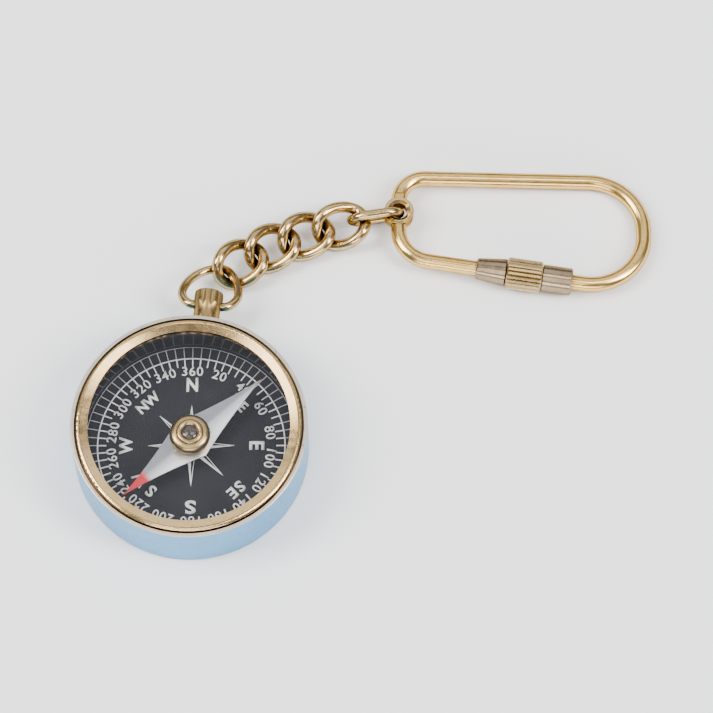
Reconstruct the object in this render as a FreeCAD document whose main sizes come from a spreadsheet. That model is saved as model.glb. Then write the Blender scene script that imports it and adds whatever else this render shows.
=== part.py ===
import FreeCAD, Part
import math
import os
import Sketcher
from FreeCAD import Placement, Rotation, Vector

# A pocket compass on a key chain, in millimetres, +Z up.
# The origin is the centre of the case's flat back. The pendant points along +Y, and the chain
# and key ring lie to the right of it on the surface that the case stands on.

doc = FreeCAD.newDocument("pocket_compass")

# ---------------------------------------------------------------- driving dimensions
SIZES = [
    # case, bezel and glass
    ("case_radius", 19.0), ("case_height", 11.5), ("wall", 1.05), ("back_thick", 1.2),
    ("rim_height", 11.15), ("edge_round", 0.5), ("rim_round", 0.2), ("seat_deep", 1.65),
    ("bezel_radius", 18.35), ("bezel_wall", 1.05), ("bezel_neck", 18.1), ("groove_deep", 0.7),
    ("bezel_fall", 0.1), ("bezel_shoulder", 0.4), ("bezel_ridge", 17.6), ("ridge_half", 0.15),
    ("ridge_round", 0.17), ("ridge_crown", 0.09), ("bevel_drop", 0.3), ("bezel_opening", 16.2),
    ("glass_drop", 0.1), ("glass_thick", 1.0), ("retainer_thick", 0.7),
    ("retainer_width", 0.85), ("slack", 0.05), ("press", 0.01),
    # dial, pivot and needle
    ("dial_thick", 0.6), ("spacer_wall", 0.5), ("post_radius", 1.2), ("post_flange", 2.0),
    ("flange_thick", 0.4), ("post_rise", 1.3), ("post_taper", 0.7), ("pin_radius", 0.35),
    ("pin_tip", 7.45), ("pin_taper", 0.9), ("needle_level", 4.4), ("needle_long", 15.3),
    ("needle_short", 14.4), ("needle_half_width", 3.7), ("needle_spare", 1.0),
    ("needle_sheet", 0.2), ("needle_fold", 0.35), ("needle_hollow", 0.62),
    ("hub_bore", 1.0), ("hub_radius", 1.5), ("hub_drop", 0.35), ("cap_foot", 2.55),
    ("cap_radius", 3.3), ("cap_belly", 2.1), ("cap_flank", 3.35), ("cap_step", 3.05),
    ("cap_dome", 1.1), ("cap_ring", 2.15), ("cap_rise", 3.25), ("cap_bead", 0.43),
    ("cap_lip", 0.1), ("jewel_radius", 1.25), ("jewel_seat", 6.9), ("jewel_cup", 0.6),
    ("jewel_cup_radius", 0.5), ("jewel_sink", 0.35),
    ("jewel_dome", 0.32),
    ("dial_turn", 8.0), ("needle_heading", 50.2),
    # pendant and bow
    ("pendant_turn", 1.66), ("stem_root", 18.0), ("stem_face", 18.8), ("stem_foot", 0.4),
    ("stem_neck", 22.9), ("stem_end", 25.05), ("stem_level", 6.3), ("stem_flare", 2.6),
    ("stem_head", 2.35), ("stem_waist_curve", 5.1), ("stem_round", 0.3), ("spigot_radius", 1.2),
    ("flute_count", 10), ("flute_radius", 0.8), ("flute_half", 0.6), ("flute_mouth", 0.1),
    ("hole_reach", 22.8),
    ("bow_wire", 1.4), ("bow_fit", 0.05), ("bow_shoulder", 2.4), ("bow_droop", 23.6),
    ("bow_pin_end", 0.6),
    # chain
    ("link_half_length", 4.05), ("link_half_width", 3.13), ("link_twist", 1.1),
    ("link_wire", 1.85), ("end_half_length", 4.03), ("end_bend", 2.35), ("end_wire", 1.55),
    # key ring
    ("ring_rod", 2.5), ("ring_top", 6.5), ("ring_corner", 4.4), ("ring_bend", 9.0),
    ("ring_far", 40.54), ("ring_low_centre", 3.29), ("gate_slope", 7.73), ("gate_corner", 5.6),
    ("gate_mid_across", 20.63), ("gate_mid_down", 10.89), ("eye_radius", 2.45),
    ("eye_leaf", 1.0), ("eye_gap", 0.05), ("eye_clear", 0.15), ("eye_flat", 0.8),
    ("eye_tail", 1.0),
    ("lap_cut", 5.0), ("rivet_radius", 1.8), ("rivet_bore", 1.42), ("rivet_flare", 1.88),
    ("rivet_flare_deep", 0.4), ("rivet_head", 2.15), ("rivet_head_thick", 0.14),
    ("rivet_play", 0.02),
    # screw gate
    ("nut_radius", 2.6), ("nut_length", 5.8), ("nut_edge", 0.25), ("nut_lip", 0.45),
    ("knurl_count", 22), ("knurl_depth", 0.25), ("knurl_half", 0.24), ("knurl_mouth", 0.05),
    ("sleeve_bore", 1.5), ("collar_radius", 2.25), ("collar_length", 4.9),
    ("collar_edge", 0.1), ("joint_gap", 0.1), ("neck_radius", 1.85), ("neck_length", 1.4),
    ("neck_recess", 1.95), ("neck_play", 0.15), ("ferrule_small", 1.75),
    ("ferrule_large", 2.25), ("ferrule_length", 5.0), ("ferrule_edge", 0.2),
    ("nose_radius", 1.45), ("nose_tip", 0.5), ("nose_length", 1.0), ("stud_start", 0.1),
    # where the ring lies: its eye's centre and its lean
    ("eye_across", 27.72), ("eye_along", 44.84), ("eye_up", 3.15),
    ("ring_heading", 7.61), ("ring_dip", 2.51), ("ring_roll", -2.48),
    ("end_heading", 17.2), ("end_roll", 12.9), ("end_offset", 0.2),
]

# Centre (x, y, z) and yaw, pitch, roll in degrees of each twisted link, from the bow outwards.
LINKS = [
    (3.04, 32.19, 3.33, 39.6, 3.4, 19.7),
    (7.82, 35.93, 2.98, 37.3, 2.3, 16.6),
    (13.06, 38.94, 2.66, 29.7, 3.6, 15.2),
    (18.62, 41.33, 2.97, 20.3, -6.5, 17.6),
]

# Where the bow's bends meet, (across, up) in its own plane, from the right pin to the left.
# The hand-bent wire leans a little to the right.
BOW = [
    (3.3761, 0.3739), (4.5712, 3.475), (2.488, 8.3806), (0.2873, 9.0008), (-4.5206, 3.4376),
    (-3.4893, 0.4199),
]

sheet = doc.addObject("Spreadsheet::Sheet", "sizes")
for row, (alias, number) in enumerate(SIZES, start=1):
    sheet.set(f"A{row}", alias)
    sheet.set(f"B{row}", str(number))
    sheet.setAlias(f"B{row}", alias)
doc.recompute()

NODES = []
UP = Vector(0, 0, 1)
LEVEL = Rotation()


def size(formula):
    """The number that a formula in the sheet's aliases gives."""
    sheet.set("D1", "=" + formula)
    sheet.recompute()
    return float(sheet.get("D1"))


def bound(formula):
    """A formula in plain aliases, with each alias pointed at the sheet."""
    words = formula.replace("(", " ( ").replace(")", " ) ").split()
    names = {alias for alias, number in SIZES}
    return " ".join("sizes." + word if word in names else word for word in words)


def node(thing, label, placement=None):
    """Name one finished sub-part, put it in its place and list it for writing."""
    thing.Label = label
    if placement is not None:
        thing.Placement = placement
    NODES.append(thing)
    return thing


# ---------------------------------------------------------------- makers
def plane(body, role):
    return next(part for part in body.Origin.OriginFeatures if part.Role == role)


def closed_sketch(body, role, corners, arcs):
    """A closed outline on one of the body's planes, every corner held by the sheet.

    corners are (across, up) formulas. arcs gives, for a side that is round, its radius as a
    formula and 1 or -1 for the side of the chord that it bulges to.
    """
    sketch = body.newObject("Sketcher::SketchObject", body.Name + "_outline")
    sketch.AttachmentSupport = [(plane(body, role), "")]
    sketch.MapMode = "FlatFace"
    points = [Vector(size(across), size(up), 0) for across, up in corners]
    count = len(points)
    for index, start in enumerate(points):
        end = points[(index + 1) % count]
        if index in arcs:
            radius_formula, side = arcs[index]
            chord = end - start
            half = chord.Length / 2
            radius = size(radius_formula)
            rise = radius - math.sqrt(radius * radius - half * half)
            normal = Vector(chord.y, -chord.x, 0).normalize() * side
            crown = (start + end) * 0.5 + normal * rise
            sketch.addGeometry(Part.Arc(start, crown, end), False)
        else:
            sketch.addGeometry(Part.LineSegment(start, end), False)
    ends = []
    for index, start in enumerate(points):
        begins = sketch.getPoint(index, 1).distanceToPoint(start) < 1e-6
        ends.append((1, 2) if begins else (2, 1))
    for index in range(count):
        after = (index + 1) % count
        sketch.addConstraint(Sketcher.Constraint(
            "Coincident", index, ends[index][1], after, ends[after][0]))
    for index, (across, up) in enumerate(corners):
        spot = ends[index][0]
        if across == "0":
            sketch.addConstraint(Sketcher.Constraint("PointOnObject", index, spot, -2))
        else:
            number = sketch.addConstraint(Sketcher.Constraint(
                "DistanceX", -1, 1, index, spot, points[index].x))
            sketch.setExpression(f"Constraints[{number}]", bound(across))
        if up == "0":
            sketch.addConstraint(Sketcher.Constraint("PointOnObject", index, spot, -1))
        else:
            number = sketch.addConstraint(Sketcher.Constraint(
                "DistanceY", -1, 1, index, spot, points[index].y))
            sketch.setExpression(f"Constraints[{number}]", bound(up))
    for index, (radius_formula, side) in arcs.items():
        number = sketch.addConstraint(Sketcher.Constraint("Radius", index, size(radius_formula)))
        sketch.setExpression(f"Constraints[{number}]", bound(radius_formula))
    return sketch


def turned(name, corners, arcs=None):
    """A piece turned about its own Z axis from a closed outline of radii and heights."""
    body = doc.addObject("PartDesign::Body", name)
    sketch = closed_sketch(body, "XZ_Plane", corners, arcs or {})
    turn = body.newObject("PartDesign::Revolution", name + "_turn")
    turn.Profile = sketch
    turn.ReferenceAxis = (sketch, ["V_Axis"])
    turn.Angle = 360.0
    body.Tip = turn
    return body


def cylinder(name, radius, height, placement):
    peg = doc.addObject("Part::Cylinder", name)
    peg.setExpression("Radius", bound(radius))
    peg.setExpression("Height", bound(height))
    peg.Placement = placement
    return peg


def cut(name, base, tools):
    """base with every tool taken away, one boolean after another."""
    for number, tool in enumerate(tools):
        result = doc.addObject("Part::Cut", f"{name}_cut{number}")
        result.Base = base
        result.Tool = tool
        base = result
    return base


def rod(name, edges, radius, start, direction):
    """Round bar of one radius swept along a tangent chain of lines and arcs."""
    path = doc.addObject("Part::Feature", name + "_path")
    path.Shape = Part.Wire(edges)
    section = doc.addObject("Part::Circle", name + "_section")
    section.setExpression("Radius", bound(radius))
    section.Placement = Placement(start, Rotation(Vector(0, 0, 1), direction))
    sweep = doc.addObject("Part::Sweep", name + "_rod")
    sweep.Sections = [section]
    sweep.Spine = (path, [f"Edge{number + 1}" for number in range(len(edges))])
    sweep.Solid = True
    sweep.Frenet = False
    return sweep


def grooved(body, label, level, corners, arcs, length, count):
    """Cut an outline out of a body's side, from a level upwards, and repeat it all round."""
    doc.recompute()
    sketch = closed_sketch(body, "XY_Plane", corners, arcs)
    sketch.AttachmentOffset = Placement(Vector(0, 0, size(level)), LEVEL)
    groove = body.newObject("PartDesign::Pocket", label + "_cut")
    groove.Profile = sketch
    groove.Reversed = True
    groove.setExpression("Length", bound(length))
    pattern = body.newObject("PartDesign::PolarPattern", label + "_pattern")
    pattern.Originals = [groove]
    pattern.Axis = (sketch, ["N_Axis"])
    pattern.Angle = 360.0
    pattern.setExpression("Occurrences", bound(count))
    body.Tip = pattern
    return body


def line(start, end):
    return Part.LineSegment(start, end).toShape()


def arc(centre, radius, first, last):
    """Arc in the XY plane from angle first to angle last, in degrees, either way round."""
    angles = [first, (first + last) / 2, last]
    spots = [centre + Vector(math.cos(math.radians(a)), math.sin(math.radians(a)), 0) * radius
             for a in angles]
    return Part.Arc(*spots).toShape()


# ---------------------------------------------------------------- case, bezel and glass
seat = "rim_height - seat_deep"
case_bore = "case_radius - wall"

shell = turned("case_shell", [
    ("0", "0"),
    ("case_radius - edge_round", "0"),
    ("case_radius", "edge_round"),
    ("case_radius", "rim_height - rim_round"),
    ("case_radius - rim_round", "rim_height"),
    ("bezel_radius + slack", "rim_height"),
    ("bezel_radius + slack", seat),
    (case_bore, seat),
    (case_bore, "back_thick"),
    ("0", "back_thick"),
], {1: ("edge_round", 1), 3: ("rim_round", 1)})
stem_axis = Rotation(Vector(1, 0, 0), -90)
pendant_pose = Placement(Vector(), Rotation(UP, size("pendant_turn")))


def on_pendant(distance, turn=stem_axis):
    """Placement at a distance from the case's centre along the pendant."""
    spot = Vector(0, size(distance), size("stem_level"))
    return pendant_pose.multiply(Placement(spot, turn))


spot_face = cylinder("stem_spot_face", "stem_flare + slack", "wall", on_pendant("stem_face"))
stem_hole = cylinder("stem_hole", "spigot_radius + press", "wall * 2",
                     on_pendant("stem_face - wall"))
node(cut("case_body", shell, [spot_face, stem_hole]), "case_body")

glass_top = "rim_height - glass_drop"
glass_base = "rim_height - glass_drop - glass_thick"
bezel_bore = "bezel_radius - bezel_wall"
groove_floor = "rim_height - groove_deep"
node(turned("bezel_ring", [
    (bezel_bore, seat),
    ("bezel_radius", seat),
    ("bezel_radius", groove_floor),
    ("bezel_neck", groove_floor),
    ("bezel_neck", "rim_height - bezel_fall"),
    ("bezel_ridge + ridge_half", "case_height - ridge_crown"),
    ("bezel_ridge - ridge_half", "case_height - ridge_crown"),
    ("bezel_opening", "case_height - bevel_drop"),
    ("bezel_opening", glass_top),
    (bezel_bore, glass_top),
], {4: ("bezel_shoulder", 1), 5: ("ridge_round", 1)}), "bezel")

node(turned("glass_disc", [
    ("0", glass_base),
    ("bezel_radius - bezel_wall - slack", glass_base),
    ("bezel_radius - bezel_wall - slack", glass_top),
    ("0", glass_top),
]), "glass")

retainer_base = "rim_height - glass_drop - glass_thick - retainer_thick"
retainer_inner = "bezel_radius - bezel_wall - retainer_width"
node(turned("retainer", [
    (retainer_inner, retainer_base),
    (bezel_bore, retainer_base),
    (bezel_bore, glass_base),
    (retainer_inner, glass_base),
]), "glass_retaining_ring")

# ---------------------------------------------------------------- dial and its wall
dial_top = "back_thick + dial_thick"
dial_edge = "case_radius - wall - slack"
node(turned("dial_disc", [
    ("post_radius + press", "back_thick"),
    (dial_edge, "back_thick"),
    (dial_edge, dial_top),
    ("post_radius + press", dial_top),
]), "dial_plate", Placement(Vector(), Rotation(UP, size("dial_turn"))))

wall_bore = "case_radius - wall - slack - spacer_wall"
node(turned("spacer", [
    (wall_bore, dial_top),
    (dial_edge, dial_top),
    (dial_edge, "rim_height - seat_deep - slack"),
    (wall_bore, "rim_height - seat_deep - slack"),
]), "dial_spacer_ring")

# ---------------------------------------------------------------- pivot
post_top = "back_thick + dial_thick + post_rise"
flange_top = "back_thick + dial_thick + flange_thick"
node(turned("post", [
    ("pin_radius", "back_thick"),
    ("post_radius", "back_thick"),
    ("post_radius", dial_top),
    ("post_flange", dial_top),
    ("post_flange", flange_top),
    ("post_radius", flange_top),
    ("post_radius * post_taper", post_top),
    ("pin_radius", post_top),
]), "pivot_post")

node(turned("pin", [
    ("0", "back_thick"),
    ("pin_radius", "back_thick"),
    ("pin_radius", "pin_tip - pin_taper"),
    ("0", "pin_tip"),
]), "pivot_pin")

# ---------------------------------------------------------------- needle
needle_pose = Placement(Vector(), Rotation(UP, size("needle_heading")))


def blade_outline():
    """Long four-pointed outline with slightly hollow sides, flat on the XY plane."""
    corners = [Vector(size("needle_long"), 0, 0), Vector(0, size("needle_half_width"), 0),
               Vector(-size("needle_short"), 0, 0), Vector(0, -size("needle_half_width"), 0)]
    edges = []
    for index, start in enumerate(corners):
        end = corners[(index + 1) % 4]
        middle = (start + end) * 0.5
        hollow = middle - Vector(middle).normalize() * size("needle_hollow")
        edges.append(Part.Arc(start, hollow, end).toShape())
    return Part.Wire(edges)


outline = doc.addObject("Part::Feature", "blade_outline")
outline.Shape = blade_outline()
blank = doc.addObject("Part::Extrusion", "blade_blank")
blank.Base = outline
blank.Dir = UP
blank.setExpression("LengthFwd", bound("needle_fold + needle_sheet"))
blank.Solid = True

fold = doc.addObject("Part::Feature", "blade_fold_outline")
side = size("needle_half_width + needle_fold")
low = size("needle_fold")
thick = size("needle_sheet")
reach = size("needle_long + needle_spare")
fold.Shape = Part.makePolygon([
    Vector(-reach, -side, 0), Vector(-reach, 0, low), Vector(-reach, side, 0),
    Vector(-reach, side, thick), Vector(-reach, 0, low + thick), Vector(-reach, -side, thick),
    Vector(-reach, -side, 0)])
roof = doc.addObject("Part::Extrusion", "blade_fold")
roof.Base = fold
roof.Dir = Vector(1, 0, 0)
roof.setExpression("LengthFwd", bound("needle_long * 2 + needle_spare * 2"))
roof.Solid = True

folded = doc.addObject("Part::Common", "blade_folded")
folded.Base = blank
folded.Tool = roof
hub_hole = cylinder("blade_hole", "hub_radius", "needle_level",
                    Placement(Vector(0, 0, -size("hub_radius")), LEVEL))
lift = Placement(Vector(0, 0, size("needle_level")), LEVEL)
node(cut("blade", folded, [hub_hole]), "needle_blade", lift.multiply(needle_pose))

cap_base = "needle_level + needle_fold + needle_sheet"
cap_top = cap_base + " + cap_rise"
hub_base = "needle_level - hub_drop"
node(turned("cap", [
    ("hub_bore", hub_base),
    ("hub_radius", hub_base),
    ("hub_radius", cap_base),
    ("cap_foot", cap_base),
    ("cap_radius", cap_base + " + cap_belly"),
    ("cap_ring", cap_base + " + cap_step"),
    ("jewel_radius + cap_lip", cap_top),
    ("jewel_radius", cap_top + " - cap_lip"),
    ("jewel_radius", "jewel_seat"),
    ("hub_bore", "jewel_seat"),
], {3: ("cap_flank", 1), 4: ("cap_dome", 1), 5: ("cap_bead", 1)}), "needle_cap", needle_pose)

# The jewel's top is part of a ball, so that it ends square on the axis.
jewel_edge = cap_top + " - jewel_sink"
jewel_ball = "(jewel_radius * jewel_radius + jewel_dome * jewel_dome) / (2 * jewel_dome)"
node(turned("jewel", [
    ("0", "jewel_seat + jewel_cup"),
    ("jewel_cup_radius", "jewel_seat"),
    ("jewel_radius", "jewel_seat"),
    ("jewel_radius", jewel_edge),
    ("0", jewel_edge + " + jewel_dome"),
], {3: (jewel_ball, 1)}), "needle_jewel", needle_pose)

# ---------------------------------------------------------------- pendant and bow
stem = turned("stem", [
    ("0", "0"),
    ("spigot_radius", "0"),
    ("spigot_radius", "stem_face - stem_root"),
    ("stem_flare", "stem_face - stem_root"),
    ("stem_flare", "stem_face - stem_root + stem_foot"),
    ("stem_head", "stem_neck - stem_root"),
    ("stem_head", "stem_end - stem_root - stem_round"),
    ("stem_head - stem_round", "stem_end - stem_root"),
    ("0", "stem_end - stem_root"),
], {4: ("stem_waist_curve", -1), 6: ("stem_round", 1)})
grooved(stem, "flute", "stem_face - stem_root + stem_foot", [
    ("stem_head + flute_mouth", "0 - flute_half"),
    ("stem_head + flute_mouth", "flute_half"),
], {1: ("flute_radius", 1)}, "stem_end", "flute_count")
hinge_hole = cylinder("bow_hole", "bow_wire / 2 + bow_fit", "stem_head * 4",
                      Placement(Vector(-size("stem_head * 2"), 0, size("hole_reach - stem_root")),
                                Rotation(Vector(0, 1, 0), 90)))
node(cut("pendant_stem", stem, [hinge_hole]), "pendant", on_pendant("stem_root"))


def bow_edges():
    """From the middle of the hole, out of the pendant, round the loop and back in."""
    shoulder = Vector(size("bow_shoulder"), 0, 0)
    pin = Vector(size("bow_pin_end"), 0, 0)
    edges = [line(pin, shoulder)]
    start = shoulder
    way = Vector(1, 0, 0)
    for spot in [Vector(across, up, 0) for across, up in BOW] + [-shoulder]:
        chord = spot - start
        along = Vector(chord).normalize()
        outward = (way - along * way.dot(along)).normalize()
        bulge = chord.Length / 2 * math.tan(way.getAngle(along) / 2)
        edges.append(Part.Arc(start, start + chord * 0.5 + outward * bulge, spot).toShape())
        way = along * (2 * way.dot(along)) - way
        start = spot
    return edges + [line(-shoulder, -pin)]


bow_lean = Rotation(Vector(1, 0, 0), -size("bow_droop"))
node(rod("bow", bow_edges(), "bow_wire / 2", Vector(size("bow_pin_end"), 0, 0), Vector(1, 0, 0)),
     "bow", on_pendant("hole_reach", bow_lean))

# ---------------------------------------------------------------- chain
def link_spot(turn):
    return Vector(size("link_half_length") * math.cos(turn),
                  size("link_half_width") * math.sin(turn),
                  -size("link_twist") * math.sin(2 * turn))


def link_way(turn):
    """Direction of the link's centreline at a turn."""
    return Vector(-size("link_half_length") * math.sin(turn),
                  size("link_half_width") * math.cos(turn),
                  -2 * size("link_twist") * math.cos(2 * turn))


def twisted_link():
    """Closed round-wire loop whose long sides are twisted, so neighbours lie flat together."""
    steps = 8
    quarter = math.pi / 2
    quarters = []
    for number in range(4):
        turns = [quarter * (number + step / steps) for step in range(steps + 1)]
        curve = Part.BSplineCurve()
        curve.interpolate(Points=[link_spot(turn) for turn in turns],
                          InitialTangent=link_way(turns[0]), FinalTangent=link_way(turns[-1]))
        ring = Part.Circle(link_spot(turns[0]), link_way(turns[0]), size("link_wire") / 2)
        section = Part.Wire([ring.toShape()])
        quarters.append(Part.Wire([curve.toShape()]).makePipeShell([section], True, False))
    return quarters[0].multiFuse(quarters[1:]).Solids[0]


link_shape = twisted_link()
for number, (across, along, high, yaw, pitch, roll) in enumerate(LINKS, start=1):
    link = doc.addObject("Part::Feature", f"chain_link_{number}")
    link.Shape = link_shape
    node(link, f"chain_link_{number}",
         Placement(Vector(across, along, high), Rotation(yaw, pitch, roll)))


def end_link_edges():
    """Flat oval of two half-circles and two straights."""
    bend = size("end_bend")
    straight = size("end_half_length") - bend
    return [
        line(Vector(0, bend, 0), Vector(-straight, bend, 0)),
        arc(Vector(-straight, 0, 0), bend, 90, 270),
        line(Vector(-straight, -bend, 0), Vector(straight, -bend, 0)),
        arc(Vector(straight, 0, 0), bend, -90, 90),
        line(Vector(straight, bend, 0), Vector(0, bend, 0)),
    ]


end_turn = Rotation(size("end_heading"), 0, size("end_roll"))
to_centre = end_turn.multVec(Vector(size("end_offset - end_half_length"), 0, 0))
eye_centre = Vector(size("eye_across"), size("eye_along"), size("eye_up"))
end_pose = Placement(eye_centre + to_centre,
                     end_turn.multiply(Rotation(Vector(1, 0, 0), 90)))
node(rod("end_link", end_link_edges(), "end_wire / 2", Vector(0, size("end_bend"), 0),
         Vector(-1, 0, 0)), "end_link", end_pose)

# ---------------------------------------------------------------- key ring
ring_pose = Placement(eye_centre,
                      Rotation(size("ring_heading"), size("ring_dip"), size("ring_roll")))
slope = math.radians(size("gate_slope"))
gate_way = Vector(math.cos(slope), -math.sin(slope), 0)
gate_mid = Vector(size("gate_mid_across"), -size("gate_mid_down"), 0)
nut_half = size("nut_length / 2")


def gate_point(distance):
    """Point on the gate's axis, measured along it from the middle of the nut."""
    return gate_mid + gate_way * distance


def frame_edges():
    """From the eye round the top bar and the far bend to the tip of the screwed end."""
    corner = size("ring_corner")
    bend = size("ring_bend")
    far = size("ring_far")
    top = size("ring_top")
    low = Vector(far - bend, -size("ring_low_centre"), 0)
    slope_deg = size("gate_slope")
    landing = low + Vector(-math.sin(slope), -math.cos(slope), 0) * bend
    return [
        line(Vector(0, size("eye_tail"), 0), Vector(0, top - corner, 0)),
        arc(Vector(corner, top - corner, 0), corner, 180, 90),
        line(Vector(corner, top, 0), Vector(far - bend, top, 0)),
        arc(Vector(far - bend, top - bend, 0), bend, 90, 0),
        line(Vector(far, top - bend, 0), Vector(far, low.y, 0)),
        arc(low, bend, 0, -90 - slope_deg),
        line(landing, gate_point(size("stud_start"))),
    ]


def arm_edges():
    """From the eye down the near bend to the ferrule's face."""
    bend = size("gate_corner")
    start_line = gate_mid.y + gate_mid.x * math.tan(slope)
    centre = Vector(bend, start_line - bend * math.tan(slope) + bend / math.cos(slope), 0)
    landing = centre + Vector(-math.sin(slope), -math.cos(slope), 0) * bend
    return [
        line(Vector(0, -size("eye_tail"), 0), Vector(0, centre.y, 0)),
        arc(centre, bend, 180, 270 - size("gate_slope")),
        line(landing, gate_point(-nut_half - size("joint_gap"))),
    ]


def eye_disc(name, low_face):
    return cylinder(name, "eye_radius", "eye_leaf", Placement(Vector(0, 0, low_face), LEVEL))


def half_lapped(name, bar, side_up):
    """A bar with a half-thickness eye at its end. side_up is 1 for the upper leaf, -1 lower."""
    leaf = size("eye_leaf")
    gap = size("eye_gap")
    low_face = gap if side_up > 0 else -gap - leaf
    joined = doc.addObject("Part::Fuse", name + "_with_eye")
    joined.Base = bar
    joined.Tool = eye_disc(name + "_eye", low_face)
    deep = size("lap_cut")
    clear_low = gap - deep if side_up > 0 else -gap
    partner = cylinder(name + "_partner_space", "eye_radius + eye_clear", "lap_cut",
                       Placement(Vector(0, 0, clear_low), LEVEL))
    face_low = gap + leaf if side_up > 0 else -gap - leaf - deep
    face = cylinder(name + "_spot_face", "eye_radius + eye_flat", "lap_cut",
                    Placement(Vector(0, 0, face_low), LEVEL))
    fit = "rivet_radius" if side_up > 0 else "rivet_radius + slack"
    hole = cylinder(name + "_eye_hole", fit, "lap_cut * 2",
                    Placement(Vector(0, 0, -deep), LEVEL))
    return cut(name, joined, [partner, face, hole])


frame_bar = rod("ring_frame", frame_edges(), "ring_rod / 2",
                Vector(0, size("eye_tail"), 0), Vector(0, 1, 0))
node(half_lapped("ring_frame", frame_bar, 1), "ring_frame", ring_pose)
arm_bar = rod("gate_arm", arm_edges(), "ring_rod / 2",
              Vector(0, -size("eye_tail"), 0), Vector(0, -1, 0))
node(half_lapped("gate_arm", arm_bar, -1), "gate_arm", ring_pose)

# The hollow rivet is turned standing up, then lowered so that its middle is at the eye.
rivet_half = size("eye_leaf + eye_gap + rivet_play + rivet_head_thick")
rivet_drop = Placement(Vector(0, 0, -rivet_half), LEVEL)
rivet_neck = "2 * eye_leaf + 2 * eye_gap + 2 * rivet_play + rivet_head_thick"
rivet_top = rivet_neck + " + rivet_head_thick"
node(turned("rivet", [
    ("rivet_flare", "0"),
    ("rivet_head", "0"),
    ("rivet_head", "rivet_head_thick"),
    ("rivet_radius", "rivet_head_thick"),
    ("rivet_radius", rivet_neck),
    ("rivet_head", rivet_neck),
    ("rivet_head", rivet_top),
    ("rivet_flare", rivet_top),
    ("rivet_bore", rivet_top + " - rivet_flare_deep"),
    ("rivet_bore", "rivet_flare_deep"),
]), "eye_rivet", ring_pose.multiply(rivet_drop))

# ---------------------------------------------------------------- screw gate
along_gate = Rotation(UP, -size("gate_slope")).multiply(Rotation(Vector(0, 1, 0), 90))


def on_gate(distance):
    """Placement of a turned piece whose own Z axis lies along the gate."""
    return ring_pose.multiply(Placement(gate_point(distance), along_gate))


rod_fit = "ring_rod / 2"
node(turned("ferrule", [
    (rod_fit, "0"),
    ("ferrule_small - ferrule_edge", "0"),
    ("ferrule_small", "ferrule_edge"),
    ("ferrule_large", "ferrule_length - ferrule_edge"),
    ("ferrule_large - ferrule_edge", "ferrule_length"),
    ("nose_radius", "ferrule_length"),
    ("nose_tip", "ferrule_length + nose_length"),
    ("0", "ferrule_length + nose_length"),
    ("0", "ferrule_length - slack"),
    (rod_fit, "ferrule_length - slack"),
]), "gate_ferrule", on_gate(-nut_half - size("ferrule_length + slack")))

nut_blank = turned("nut_blank", [
    ("sleeve_bore", "nose_length + nut_edge"),
    ("nose_radius + nut_lip", "0"),
    ("nut_radius - nut_edge", "0"),
    ("nut_radius", "nut_edge"),
    ("nut_radius", "nut_length - nut_edge"),
    ("nut_radius - nut_edge", "nut_length"),
    ("neck_radius", "nut_length"),
    ("neck_radius", "nut_length + neck_length"),
    ("sleeve_bore", "nut_length + neck_length"),
])
node(grooved(nut_blank, "knurl", "0", [
    ("nut_radius - knurl_depth", "0"),
    ("nut_radius + knurl_mouth", "0 - knurl_half"),
    ("nut_radius + knurl_mouth", "knurl_half"),
], {}, "nut_length", "knurl_count"), "knurled_nut", on_gate(-nut_half))

node(turned("collar", [
    ("neck_recess", "0"),
    ("collar_radius - collar_edge", "0"),
    ("collar_radius", "collar_edge"),
    ("collar_radius", "collar_length - nut_edge"),
    ("collar_radius - nut_edge", "collar_length"),
    ("sleeve_bore", "collar_length"),
    ("sleeve_bore", "neck_length + neck_play"),
    ("neck_recess", "neck_length + neck_play"),
]), "gate_collar", on_gate(nut_half + size("joint_gap")))

# ---------------------------------------------------------------- test and write
sheet.clear("D1")
doc.recompute()
for thing in doc.Objects:
    if "Invalid" in thing.State or "Error" in thing.State:
        raise RuntimeError(f"{thing.Name} failed: {thing.State}")
for piece in NODES:
    if piece.Shape.isNull() or not piece.Shape.isValid():
        raise RuntimeError(f"{piece.Label} has no valid shape")

os.makedirs("parts", exist_ok=True)
for piece in NODES:
    piece.Shape.exportStep(f"parts/{piece.Label}.step")
    print(f"{piece.Label}: {len(piece.Shape.Solids)} solid, {piece.Shape.Volume:.2f} mm3")
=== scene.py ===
import math

import bmesh
import bpy
from mathutils import Matrix, Vector


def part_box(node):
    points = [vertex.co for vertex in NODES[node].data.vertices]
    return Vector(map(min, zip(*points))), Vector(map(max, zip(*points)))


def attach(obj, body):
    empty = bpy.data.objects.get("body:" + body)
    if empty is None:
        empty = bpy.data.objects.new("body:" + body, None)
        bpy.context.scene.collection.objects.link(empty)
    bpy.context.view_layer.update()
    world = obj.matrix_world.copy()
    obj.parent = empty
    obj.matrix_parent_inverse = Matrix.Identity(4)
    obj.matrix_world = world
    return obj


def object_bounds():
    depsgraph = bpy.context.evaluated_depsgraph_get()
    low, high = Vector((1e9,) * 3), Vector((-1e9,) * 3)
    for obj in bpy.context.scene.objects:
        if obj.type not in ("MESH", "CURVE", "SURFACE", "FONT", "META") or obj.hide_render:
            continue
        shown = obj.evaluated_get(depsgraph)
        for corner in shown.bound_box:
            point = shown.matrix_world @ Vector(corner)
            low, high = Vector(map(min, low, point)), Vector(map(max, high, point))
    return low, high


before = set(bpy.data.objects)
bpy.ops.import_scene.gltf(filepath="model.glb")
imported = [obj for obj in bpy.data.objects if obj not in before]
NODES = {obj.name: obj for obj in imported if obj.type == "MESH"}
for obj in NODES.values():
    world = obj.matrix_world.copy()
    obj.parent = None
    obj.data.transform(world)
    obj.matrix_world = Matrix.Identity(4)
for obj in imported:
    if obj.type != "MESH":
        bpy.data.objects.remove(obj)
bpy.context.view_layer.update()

# A brass pocket compass on a key chain. Everything is in metres, in the frame's own axes.
MM = 0.001

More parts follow.
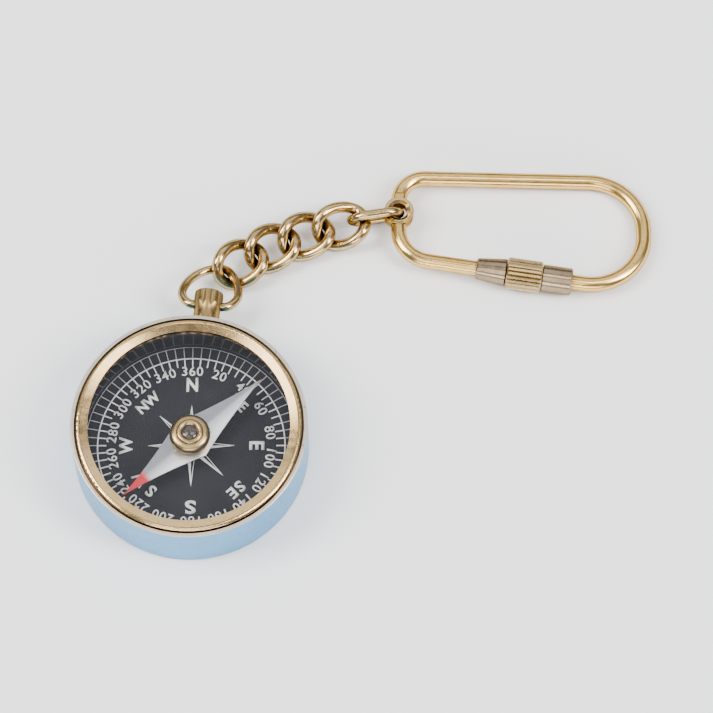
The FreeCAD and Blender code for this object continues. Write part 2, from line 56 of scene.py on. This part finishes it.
# ---------------------------------------------------------------- camera
CAMERA_AZIMUTH = math.radians(8.69)
CAMERA_ELEVATION = math.radians(67.9)
CAMERA_ROLL = math.radians(-0.70)
CAMERA_TARGET = Vector((24.19, 19.82, 0.0)) * MM
CAMERA_DISTANCE = 654.9 * MM
CAMERA_LENS = 201.96
SENSOR = 36.0


def make_camera():
    """Long lens, high above the case and a little to its right."""
    level = math.cos(CAMERA_ELEVATION)
    back = Vector((math.sin(CAMERA_AZIMUTH) * level, -math.cos(CAMERA_AZIMUTH) * level,
                   math.sin(CAMERA_ELEVATION)))
    right = (-back).cross(Vector((0, 0, 1))).normalized()
    up = back.cross(right)
    turn = Matrix((right, up, back)).transposed().to_4x4()
    roll = Matrix.Rotation(CAMERA_ROLL, 4, "Z")
    data = bpy.data.cameras.new("camera")
    data.lens = CAMERA_LENS
    data.sensor_width = SENSOR
    data.clip_start = 0.01
    data.clip_end = 20
    camera = bpy.data.objects.new("camera", data)
    bpy.context.scene.collection.objects.link(camera)
    camera.matrix_world = Matrix.Translation(CAMERA_TARGET + back * CAMERA_DISTANCE) @ turn @ roll
    bpy.context.scene.camera = camera


# ---------------------------------------------------------------- node helpers
class Maker:
    """A material's node tree, with short calls for the nodes that this scene uses."""

    def __init__(self, name):
        self.material = bpy.data.materials.new(name)
        self.material.use_nodes = True
        self.tree = self.material.node_tree
        self.surface = self.tree.nodes["Principled BSDF"]
        self.place = self.tree.nodes.new("ShaderNodeTexCoord").outputs["Object"]

    def link(self, source, target):
        self.tree.links.new(source, target)

    def set(self, **values):
        """Plain values on the surface shader's own sockets."""
        for name, value in values.items():
            self.surface.inputs[name.replace("_", " ")].default_value = value

    def mapped(self, scale=(1, 1, 1), turn=0.0):
        node = self.tree.nodes.new("ShaderNodeMapping")
        node.inputs["Scale"].default_value = scale
        node.inputs["Rotation"].default_value = (0, 0, turn)
        self.link(self.place, node.inputs["Vector"])
        return node.outputs["Vector"]

    def noise(self, size, detail=3.0, rough=0.55, vector=None, distortion=0.0):
        """Noise whose blotches are about size metres across."""
        node = self.tree.nodes.new("ShaderNodeTexNoise")
        node.inputs["Scale"].default_value = 1.0 / size
        node.inputs["Detail"].default_value = detail
        node.inputs["Roughness"].default_value = rough
        node.inputs["Distortion"].default_value = distortion
        self.link(vector or self.place, node.inputs["Vector"])
        return node.outputs["Fac"]

    def specks(self, size, radius):
        """Small sparse dots, 1 inside and 0 outside."""
        node = self.tree.nodes.new("ShaderNodeTexVoronoi")
        node.inputs["Scale"].default_value = 1.0 / size
        self.link(self.place, node.inputs["Vector"])
        return self.ramp(node.outputs["Distance"], [(0.0, 1.0), (radius, 0.0)])

    def ramp(self, source, stops):
        """Value or colour ramp from (position, grey or colour) stops."""
        node = self.tree.nodes.new("ShaderNodeValToRGB")
        stops = [(at, (tone, tone, tone, 1) if isinstance(tone, (int, float)) else (*tone, 1))
                 for at, tone in stops]
        edges = node.color_ramp.elements
        while len(edges) < len(stops):
            edges.new(0.5)
        for edge, (at, tone) in zip(edges, stops):
            edge.position = at
            edge.color = tone
        self.link(source, node.inputs["Fac"])
        return node.outputs["Color"]

    def mix(self, factor, low, high, how="MIX"):
        """Blend of two colours, each a colour or an output."""
        node = self.tree.nodes.new("ShaderNodeMix")
        node.data_type = "RGBA"
        node.blend_type = how
        for socket, value in ((0, factor), (6, low), (7, high)):
            if isinstance(value, bpy.types.NodeSocket):
                self.link(value, node.inputs[socket])
            elif socket == 0:
                node.inputs[socket].default_value = value
            else:
                node.inputs[socket].default_value = (*value, 1)
        return node.outputs[2]

    def maths(self, how, first, second=0.0):
        node = self.tree.nodes.new("ShaderNodeMath")
        node.operation = how
        for socket, value in enumerate((first, second)):
            if isinstance(value, bpy.types.NodeSocket):
                self.link(value, node.inputs[socket])
            else:
                node.inputs[socket].default_value = value
        return node.outputs[0]

    def spread(self, source, low, high, to_low, to_high):
        node = self.tree.nodes.new("ShaderNodeMapRange")
        for name, value in (("From Min", low), ("From Max", high), ("To Min", to_low),
                            ("To Max", to_high)):
            node.inputs[name].default_value = value
        self.link(source, node.inputs["Value"])
        return node.outputs["Result"]

    def axis(self, name, turn=0.0):
        """One coordinate of the surface point, after turning the axes about Z."""
        node = self.tree.nodes.new("ShaderNodeSeparateXYZ")
        self.link(self.mapped(turn=turn) if turn else self.place, node.inputs[0])
        return node.outputs[name]

    def crevice(self, reach):
        """Ambient occlusion for painted shade: 1 in the open, falling towards 0 where other metal
        is within reach.
        """
        node = self.tree.nodes.new("ShaderNodeAmbientOcclusion")
        node.samples = 4
        node.inputs["Distance"].default_value = reach
        return node.outputs["AO"]

    def bump(self, height, strength, depth):
        node = self.tree.nodes.new("ShaderNodeBump")
        node.inputs["Strength"].default_value = strength
        node.inputs["Distance"].default_value = depth
        self.link(height, node.inputs["Height"])
        self.link(node.outputs["Normal"], self.surface.inputs["Normal"])

    def colour(self, source):
        self.link(source, self.surface.inputs["Base Color"])

    def roughness(self, source):
        self.link(source, self.surface.inputs["Roughness"])


# ---------------------------------------------------------------- materials
WALL_RIM_LOW = 10.98 * MM
WALL_RIM_HIGH = 11.02 * MM
NEEDLE_HEADING = math.radians(50.2)
NEEDLE_RED_LOW = -9.6 * MM
NEEDLE_RED_HIGH = -8.4 * MM
SMOOTH_ANGLE = math.radians(32)


def brass(name, bright, deep, dirt_and_shade, gloss, dull, patina, graze):
    """Polished brass: warm cloudy tone, painted shade and brown patina in the crevices, duller at
    a grazing angle.
    """
    m = Maker(name)
    m.set(Metallic=1.0, Specular_Tint=(graze, graze * 0.9, graze * 0.8, 1))
    clouds = m.noise(4 * MM, detail=4, distortion=0.6)
    fine = m.noise(0.5 * MM, detail=2)
    tone = m.mix(m.ramp(clouds, [(0.35, 0.0), (0.7, 1.0)]), bright, deep)
    tone = m.mix(m.maths("MULTIPLY", m.ramp(fine, [(0.55, 0.0), (0.75, 1.0)]), patina), tone, dirt_and_shade)
    # Painted shade: the tone runs to the dark brown dirt colour where other metal is within 1.1
    # mm.
    outside_painted_shade = m.ramp(m.crevice(1.1 * MM), [(0.3, 0.0), (0.9, 1.0)])
    m.colour(m.mix(outside_painted_shade, m.mix(0.9, tone, dirt_and_shade), tone))
    m.roughness(m.spread(m.noise(1.6 * MM, detail=5), 0.3, 0.7, gloss, dull))
    scratches = m.noise(0.25 * MM, detail=3, vector=m.mapped(scale=(1, 9, 3), turn=0.7))
    m.bump(m.mix(0.5, scratches, m.noise(1.1 * MM)), 0.10, 0.03 * MM)
    return m.material


def plated_wall():
    """Bright sky-blue plating with a fine woven grain, buffed to pale brass on the rim, with near
    black painted shade where other metal is close.
    """
    m = Maker("plated_wall")
    m.set(Metallic=0.7, Specular_IOR_Level=0.3)
    grain = m.noise(0.22 * MM, detail=2, vector=m.mapped(scale=(1, 1, 0.6)))
    clouds = m.noise(5 * MM, detail=3)
    tone = m.mix(clouds, (0.04, 0.25, 0.48), (0.08, 0.32, 0.57))
    tone = m.mix(m.maths("MULTIPLY", grain, 0.35), tone, (0.26, 0.54, 0.76))
    height = m.axis("Z")
    rim = m.spread(height, WALL_RIM_LOW, WALL_RIM_HIGH, 0.0, 1.0)
    tone = m.mix(rim, tone, (0.58, 0.50, 0.42))
    # Painted shade: near black where other metal is within 0.6 mm, such as in the groove under the
    # bezel.
    outside_painted_shade = m.ramp(m.crevice(0.6 * MM), [(0.45, 0.0), (0.95, 1.0)])
    m.colour(m.mix(outside_painted_shade, (0.03, 0.02, 0.015), tone))
    m.roughness(m.spread(m.noise(1.2 * MM, detail=4), 0.3, 0.7, 0.26, 0.40))
    m.bump(grain, 0.16, 0.03 * MM)
    return m.material


def inner_wall():
    """Polished sleeve with its shade and the reflection of the dark dial painted in as a dark
    tone, browner towards the glass.
    """
    m = Maker("inner_wall")
    m.set(Metallic=1.0)
    height = m.spread(m.axis("Z"), 2 * MM, 9.5 * MM, 0.0, 1.0)
    streaks = m.noise(1.3 * MM, detail=3, vector=m.mapped(scale=(1, 1, 0.15)))
    # Painted shade and painted reflection: darkest near the dial, browner towards the glass.
    tone = m.mix(height, (0.05, 0.05, 0.055), (0.13, 0.09, 0.06))
    m.colour(m.mix(m.maths("MULTIPLY", streaks, 0.4), tone, (0.02, 0.018, 0.016)))
    m.roughness(m.spread(streaks, 0.3, 0.7, 0.10, 0.22))
    m.bump(streaks, 0.05, 0.02 * MM)
    return m.material


def dial_black():
    """Charcoal satin paint with dust specks."""
    m = Maker("dial_black")
    m.set(Specular_IOR_Level=0.15)
    clouds = m.noise(6 * MM, detail=4)
    dust = m.specks(2.6 * MM, 0.05)
    tone = m.mix(clouds, (0.007, 0.007, 0.009), (0.014, 0.014, 0.018))
    m.colour(m.mix(m.maths("MULTIPLY", dust, 0.35), tone, (0.30, 0.30, 0.32)))
    m.roughness(m.spread(m.noise(1.0 * MM, detail=3), 0.3, 0.7, 0.42, 0.58))
    m.bump(m.noise(0.3 * MM, detail=2), 0.12, 0.02 * MM)
    return m.material


def print_white(name, bright, worn):
    """White screen print, a little uneven."""
    m = Maker(name)
    wear = m.noise(0.4 * MM, detail=3)
    m.colour(m.mix(m.ramp(wear, [(0.45, 0.0), (0.75, 1.0)]), bright, worn))
    m.roughness(m.spread(wear, 0.3, 0.7, 0.45, 0.65))
    m.bump(wear, 0.1, 0.01 * MM)
    return m.material


def needle_metal(heading):
    """Silver needle with a lengthwise grain, one half across its fold darkened as painted shade.
    The tip away from heading is red.
    """
    m = Maker("needle_metal")
    grain = m.noise(0.35 * MM, detail=3, vector=m.mapped(scale=(0.06, 1, 1), turn=-heading))
    along = m.axis("X", turn=-heading)
    ragged = m.maths("ADD", along, m.maths("MULTIPLY", m.noise(1.8 * MM), 0.9 * MM))
    red = m.spread(ragged, NEEDLE_RED_LOW, NEEDLE_RED_HIGH, 1.0, 0.0)
    silver_and_shade = m.mix(m.noise(2.5 * MM), (0.86, 0.89, 0.94), (0.96, 0.97, 1.0))
    # Painted shade: the blade turns dark grey on one side of its lengthwise fold.
    shaded_side = m.spread(m.axis("Y", turn=-heading), -1.6 * MM, 0.5 * MM, 0.0, 1.0)
    silver_and_shade = m.mix(m.maths("MULTIPLY", shaded_side, 0.8), silver_and_shade, (0.22, 0.23, 0.26))
    m.colour(m.mix(red, silver_and_shade, (0.55, 0.015, 0.02)))
    m.link(m.spread(red, 0.0, 1.0, 1.0, 0.1), m.surface.inputs["Metallic"])
    m.roughness(m.spread(grain, 0.3, 0.7, 0.28, 0.42))
    m.bump(grain, 0.14, 0.02 * MM)
    return m.material


def dark_jewel():
    """Smoky polished bearing stone."""
    m = Maker("dark_jewel")
    m.set(Coat_Weight=0.15, Coat_Roughness=0.06)
    swirl = m.noise(0.9 * MM, detail=3, distortion=2.0)
    m.colour(m.ramp(swirl, [(0.3, (0.012, 0.010, 0.008)), (0.6, (0.05, 0.04, 0.03)),
                            (0.8, (0.16, 0.14, 0.12))]))
    m.roughness(m.spread(swirl, 0.3, 0.7, 0.08, 0.2))
    m.bump(swirl, 0.06, 0.03 * MM)
    return m.material


def steel():
    m = Maker("steel_pin")
    m.set(Metallic=1.0)
    grain = m.noise(0.2 * MM, detail=3, vector=m.mapped(scale=(1, 1, 0.1)))
    m.colour(m.mix(grain, (0.45, 0.45, 0.47), (0.66, 0.66, 0.68)))
    m.roughness(m.spread(grain, 0.3, 0.7, 0.2, 0.35))
    return m.material


def crystal():
    """Thin clear glass with faint smears."""
    m = Maker("crystal")
    m.set(Alpha=0.05, IOR=1.5)
    smear = m.noise(7 * MM, detail=5, distortion=0.8)
    m.colour(m.mix(smear, (0.10, 0.11, 0.13), (0.18, 0.19, 0.22)))
    m.roughness(m.spread(smear, 0.3, 0.7, 0.02, 0.09))
    m.bump(m.noise(2.5 * MM, detail=2), 0.02, 0.01 * MM)
    return m.material


# ---------------------------------------------------------------- dial print
DIAL_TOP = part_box("dial_plate")[1].z
DIAL_TURN = math.radians(8.0)
INK = 0.03 * MM
SCALE_RADIUS = 15.17 * MM
SCALE_OUTER = 17.15 * MM
SCALE_WIDTH = 0.20 * MM
OUTER_WIDTH = 0.09 * MM
TICK_INNER = 13.75 * MM
TICK_HALF = 0.10 * MM
OUTER_TICK_HALF = 0.07 * MM
TICK_STEP = 5
NUMERAL_STEP = 20
NUMERAL_RADIUS = 12.95 * MM
NUMERAL_HEIGHT = 1.62 * MM
NUMERAL_WEIGHT = 0.012
NUMERAL_SPACING = 1.12
LETTER_RADIUS = 10.6 * MM
LETTER_WEIGHT = 0.03
# Words, bearing, distance from the pivot, capital height, letter spacing and width.
LETTERS = [("N", 0, LETTER_RADIUS, 2.45 * MM, 1.0, 0.82),
           ("E", 90, LETTER_RADIUS, 2.45 * MM, 1.0, 1.00),
           ("S", 180, LETTER_RADIUS, 2.35 * MM, 1.0, 1.27),
           ("W", 270, LETTER_RADIUS, 2.20 * MM, 1.0, 0.92),
           ("NE", 45.8, LETTER_RADIUS, 1.90 * MM, 1.0, 0.95),
           ("SE", 136.0, LETTER_RADIUS, 2.00 * MM, 1.2, 1.05),
           ("S", 219.3, 10.10 * MM, 2.05 * MM, 1.0, 1.05),
           ("W", 234.5, 10.10 * MM, 1.90 * MM, 1.0, 0.85),
           ("NW", 316.5, 10.35 * MM, 1.85 * MM, 1.0, 0.95)]
ROSE_POINTS = 8
ROSE_START = 0.6 * MM
ROSE_SHOULDER = 2.0 * MM
ROSE_SIDE = 0.62 * MM
ROSE_LINE = 0.10 * MM
ROSE_LINE_STOP = 0.9 * MM
ROSE_LINE_INSIDE = 0.02 * MM
ROSE_LINE_OUTSIDE = 0.04 * MM
ROSE_MAIN_TIP = 7.05 * MM
ROSE_MINOR_TIP = 7.4 * MM


def dial_matrix(bearing, radius=0.0):
    """From a flat drawing whose top points outward to its place on the dial."""
    turn = Matrix.Rotation(DIAL_TURN - math.radians(bearing), 4, "Z")
    return turn @ Matrix.Translation((0, radius, DIAL_TOP - INK / 3))


def raise_faces(mesh_maker):
    """Give flat faces the thickness of the ink."""
    made = bmesh.ops.extrude_face_region(mesh_maker, geom=list(mesh_maker.faces))
    lifted = [item for item in made["geom"] if isinstance(item, bmesh.types.BMVert)]
    bmesh.ops.translate(mesh_maker, vec=(0, 0, INK), verts=lifted)
    bmesh.ops.recalc_face_normals(mesh_maker, faces=mesh_maker.faces)


def new_piece(name, mesh_maker, material, body):
    """Turn a bmesh into a named piece that rides on a CAD body."""
    mesh = bpy.data.meshes.new(name)
    mesh_maker.to_mesh(mesh)
    mesh_maker.free()
    piece = bpy.data.objects.new(name, mesh)
    bpy.context.scene.collection.objects.link(piece)
    mesh.materials.append(material)
    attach(piece, body)
    return piece


def add_polygon(mesh_maker, points, matrix):
    verts = [mesh_maker.verts.new(matrix @ Vector((x, y, 0))) for x, y in points]
    mesh_maker.faces.new(verts)


def add_band(mesh_maker, radius, width, sides=180):
    """Flat circle line drawn as a ring of quads."""
    matrix = dial_matrix(0)
    rows = []
    for step in range(sides):
        angle = 2 * math.pi * step / sides
        rows.append([mesh_maker.verts.new(matrix @ Vector((r * math.cos(angle),
                                                           r * math.sin(angle), 0)))
                     for r in (radius - width / 2, radius + width / 2)])
    for step, (inner, outer) in enumerate(rows):
        next_inner, next_outer = rows[(step + 1) % sides]
        mesh_maker.faces.new((inner, outer, next_outer, next_inner))


def add_ticks(mesh_maker, half, start, end):
    """A radial line every few degrees, from start to end."""
    points = [(-half, start), (half, start), (half, end), (-half, end)]
    for bearing in range(0, 360, TICK_STEP):
        add_polygon(mesh_maker, points, dial_matrix(bearing))


def dial_scale():
    """The main circle, the thin outer circle and their radial lines."""
    white = bmesh.new()
    add_band(white, SCALE_RADIUS, SCALE_WIDTH)
    add_ticks(white, TICK_HALF, TICK_INNER, SCALE_RADIUS - TICK_HALF)
    grey = bmesh.new()
    add_band(grey, SCALE_OUTER, OUTER_WIDTH)
    add_ticks(grey, OUTER_TICK_HALF, SCALE_RADIUS + OUTER_TICK_HALF, SCALE_OUTER)
    for name, maker, material in (("dial_scale", white, INK_WHITE),
                                  ("dial_outer_scale", grey, INK_GREY)):
        raise_faces(maker)
        new_piece(name, maker, material, "case")


def text_mesh(words, height, spacing, stretch, weight):
    """Flat lettering, centred, with capitals of the given height."""
    curve = bpy.data.curves.new("lettering", "FONT")
    curve.body = words
    curve.size = 1.0
    curve.offset = weight
    curve.space_character = spacing
    curve.resolution_u = 4
    holder = bpy.data.objects.new("lettering", curve)
    bpy.context.scene.collection.objects.link(holder)
    view = bpy.context.evaluated_depsgraph_get()
    mesh = bpy.data.meshes.new_from_object(holder.evaluated_get(view))
    bpy.data.objects.remove(holder)
    xs = [vertex.co.x for vertex in mesh.vertices]
    ys = [vertex.co.y for vertex in mesh.vertices]
    grow = height / (max(ys) - min(ys))
    centre = Vector(((max(xs) + min(xs)) / 2, (max(ys) + min(ys)) / 2, 0))
    mesh.transform(Matrix.Diagonal((grow * stretch, grow, grow, 1)) @ Matrix.Translation(-centre))
    return mesh


def lettering(name, entries, weight):
    """One piece of (words, bearing, radius, height, spacing, stretch) entries."""
    maker = bmesh.new()
    for words, bearing, radius, *shape in entries:
        mesh = text_mesh(words, *shape, weight)
        mesh.transform(dial_matrix(bearing, radius))
        maker.from_mesh(mesh)
    bmesh.ops.remove_doubles(maker, verts=maker.verts, dist=0.002 * MM)
    raise_faces(maker)
    new_piece(name, maker, INK_WHITE, "case")


def dial_lettering():
    numerals = [(str(bearing), bearing, NUMERAL_RADIUS, NUMERAL_HEIGHT, NUMERAL_SPACING, 1.0)
                for bearing in range(NUMERAL_STEP, 361, NUMERAL_STEP)]
    lettering("dial_numerals", numerals, NUMERAL_WEIGHT)
    lettering("dial_letters", LETTERS, LETTER_WEIGHT)


def dial_rose():
    """Slim points, one half of each solid white and the other half only a line."""
    maker = bmesh.new()
    for number in range(ROSE_POINTS):
        tip = ROSE_MAIN_TIP if number % 2 == 0 else ROSE_MINOR_TIP
        matrix = dial_matrix(number * 360 / ROSE_POINTS)
        add_polygon(maker, [(0, ROSE_START), (ROSE_SIDE, ROSE_SHOULDER), (0, tip)], matrix)
        add_polygon(maker, [(-ROSE_SIDE, ROSE_SHOULDER), (ROSE_LINE - ROSE_SIDE, ROSE_SHOULDER),
                            (-ROSE_LINE_INSIDE, tip - ROSE_LINE_STOP),
                            (-ROSE_LINE_OUTSIDE, tip)], matrix)
    raise_faces(maker)
    new_piece("dial_rose", maker, INK_WHITE, "case")


# ---------------------------------------------------------------- light and floor
DAYLIGHT = (1.0, 0.99, 0.97)
WARM = (1.0, 0.98, 0.95)
SOFT_WARM = (1.0, 0.98, 0.96)
COOL = (0.95, 0.97, 1.0)
NEUTRAL = (1.0, 1.0, 1.0)
SKY = (0.86, 0.91, 1.0, 1)
SKY_STRENGTH = 0.3
LAMP_AIM = Vector((20, 20, 0)) * MM
# Name, place, size in metres, power in watts, tint.
LAMPS = [("left_window", (-0.62, -0.10, 0.72), (0.34, 0.60), 11.0, DAYLIGHT),
         ("right_window", (0.68, -0.08, 0.72), (0.30, 0.55), 11.0, SOFT_WARM),
         ("front", (0.1, -1.1, 0.45), (1.2, 0.35), 8.0, COOL),
         ("back", (0.0, 0.85, 0.85), (1.6, 0.8), 4.4, NEUTRAL),
         ("top_left", (-0.36, 0.17, 0.90), (0.24, 0.36), 1.8, WARM),
         ("top_right", (0.25, 0.17, 0.90), (0.24, 0.36), 1.8, WARM),
         ("front_high", (-0.05, -0.43, 0.85), (0.40, 0.62), 2.2, WARM)]
FLOOR_REACH = 3.0
FLOOR_GAP = 0.02 * MM


def area_light(name, place, size, power, tint):
    data = bpy.data.lights.new(name, "AREA")
    data.shape = "RECTANGLE"
    data.size, data.size_y = size
    data.energy = power
    data.color = tint
    lamp = bpy.data.objects.new(name, data)
    bpy.context.scene.collection.objects.link(lamp)
    lamp.location = place
    lamp.rotation_euler = (LAMP_AIM - Vector(place)).to_track_quat("-Z", "Y").to_euler()


def make_studio():
    """White floor, soft lamps at the sides, in front, behind and above, and a dim sky."""
    for lamp in LAMPS:
        area_light(*lamp)
    world = bpy.data.worlds.new("studio")
    world.use_nodes = True
    world.node_tree.nodes["Background"].inputs["Color"].default_value = SKY
    world.node_tree.nodes["Background"].inputs["Strength"].default_value = SKY_STRENGTH
    bpy.context.scene.world = world
    mesh = bpy.data.meshes.new("floor")
    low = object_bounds()[0].z - FLOOR_GAP
    corners = [(-1, -1), (1, -1), (1, 1), (-1, 1)]
    mesh.from_pydata([(x * FLOOR_REACH, y * FLOOR_REACH, low) for x, y in corners], [],
                     [(0, 1, 2, 3)])
    floor = bpy.data.objects.new("floor", mesh)
    bpy.context.scene.collection.objects.link(floor)
    m = Maker("floor")
    m.colour(m.mix(m.noise(40 * MM), (0.90, 0.91, 0.92), (0.93, 0.93, 0.94)))
    m.set(Roughness=0.9, Specular_IOR_Level=0.1)
    mesh.materials.append(m.material)


# ---------------------------------------------------------------- dressing the frame
def dress(names, material):
    """Give CAD nodes a material and smooth their curved faces."""
    for name in names:
        mesh = NODES[name].data
        mesh.materials.clear()
        mesh.materials.append(material)
        mesh.shade_smooth()
        mesh.set_sharp_from_angle(angle=SMOOTH_ANGLE)


make_camera()
INK_WHITE = print_white("ink_white", (0.80, 0.80, 0.80), (0.60, 0.60, 0.62))
INK_GREY = print_white("ink_grey", (0.42, 0.42, 0.43), (0.25, 0.25, 0.26))
POLISHED = brass("polished_brass", (0.86, 0.60, 0.29), (0.76, 0.50, 0.22), (0.10, 0.06, 0.025),
                 0.10, 0.20, 0.25, 0.5)
AGED = brass("aged_brass", (0.60, 0.41, 0.18), (0.46, 0.31, 0.12), (0.10, 0.06, 0.025),
             0.24, 0.36, 0.4, 0.4)
SATIN = brass("satin_brass", (0.40, 0.27, 0.11), (0.30, 0.20, 0.07), (0.07, 0.04, 0.015),
              0.24, 0.36, 0.3, 0.35)
KNURL = brass("knurl_brass", (0.60, 0.44, 0.22), (0.50, 0.36, 0.17), (0.16, 0.10, 0.04),
              0.20, 0.32, 0.3, 0.35)
ROSY = brass("rosy_brass", (0.40, 0.30, 0.19), (0.29, 0.21, 0.13), (0.05, 0.03, 0.02),
             0.18, 0.28, 0.3, 0.35)
CHAIN = brass("chain_brass", (0.68, 0.48, 0.22), (0.46, 0.31, 0.13), (0.04, 0.025, 0.012),
              0.12, 0.24, 0.5, 0.1)
ROD = brass("rod_brass", (0.88, 0.59, 0.21), (0.80, 0.50, 0.15), (0.12, 0.065, 0.015),
            0.15, 0.24, 0.25, 0.25)
dress(["bezel", "pivot_post", "glass_retaining_ring", "eye_rivet"], POLISHED)
dress(["pendant"], SATIN)
dress(["needle_cap"], AGED)
dress(["gate_ferrule", "gate_collar"], ROSY)
dress(["bow", "end_link"] + [f"chain_link_{number}" for number in range(1, 5)], CHAIN)
dress(["ring_frame", "gate_arm"], ROD)
dress(["knurled_nut"], KNURL)
dress(["case_body"], plated_wall())
dress(["dial_spacer_ring"], inner_wall())
dress(["dial_plate"], dial_black())
dress(["needle_blade"], needle_metal(NEEDLE_HEADING))
dress(["needle_jewel"], dark_jewel())
dress(["pivot_pin"], steel())
dress(["glass"], crystal())
dial_scale()
dial_lettering()
dial_rose()
make_studio()
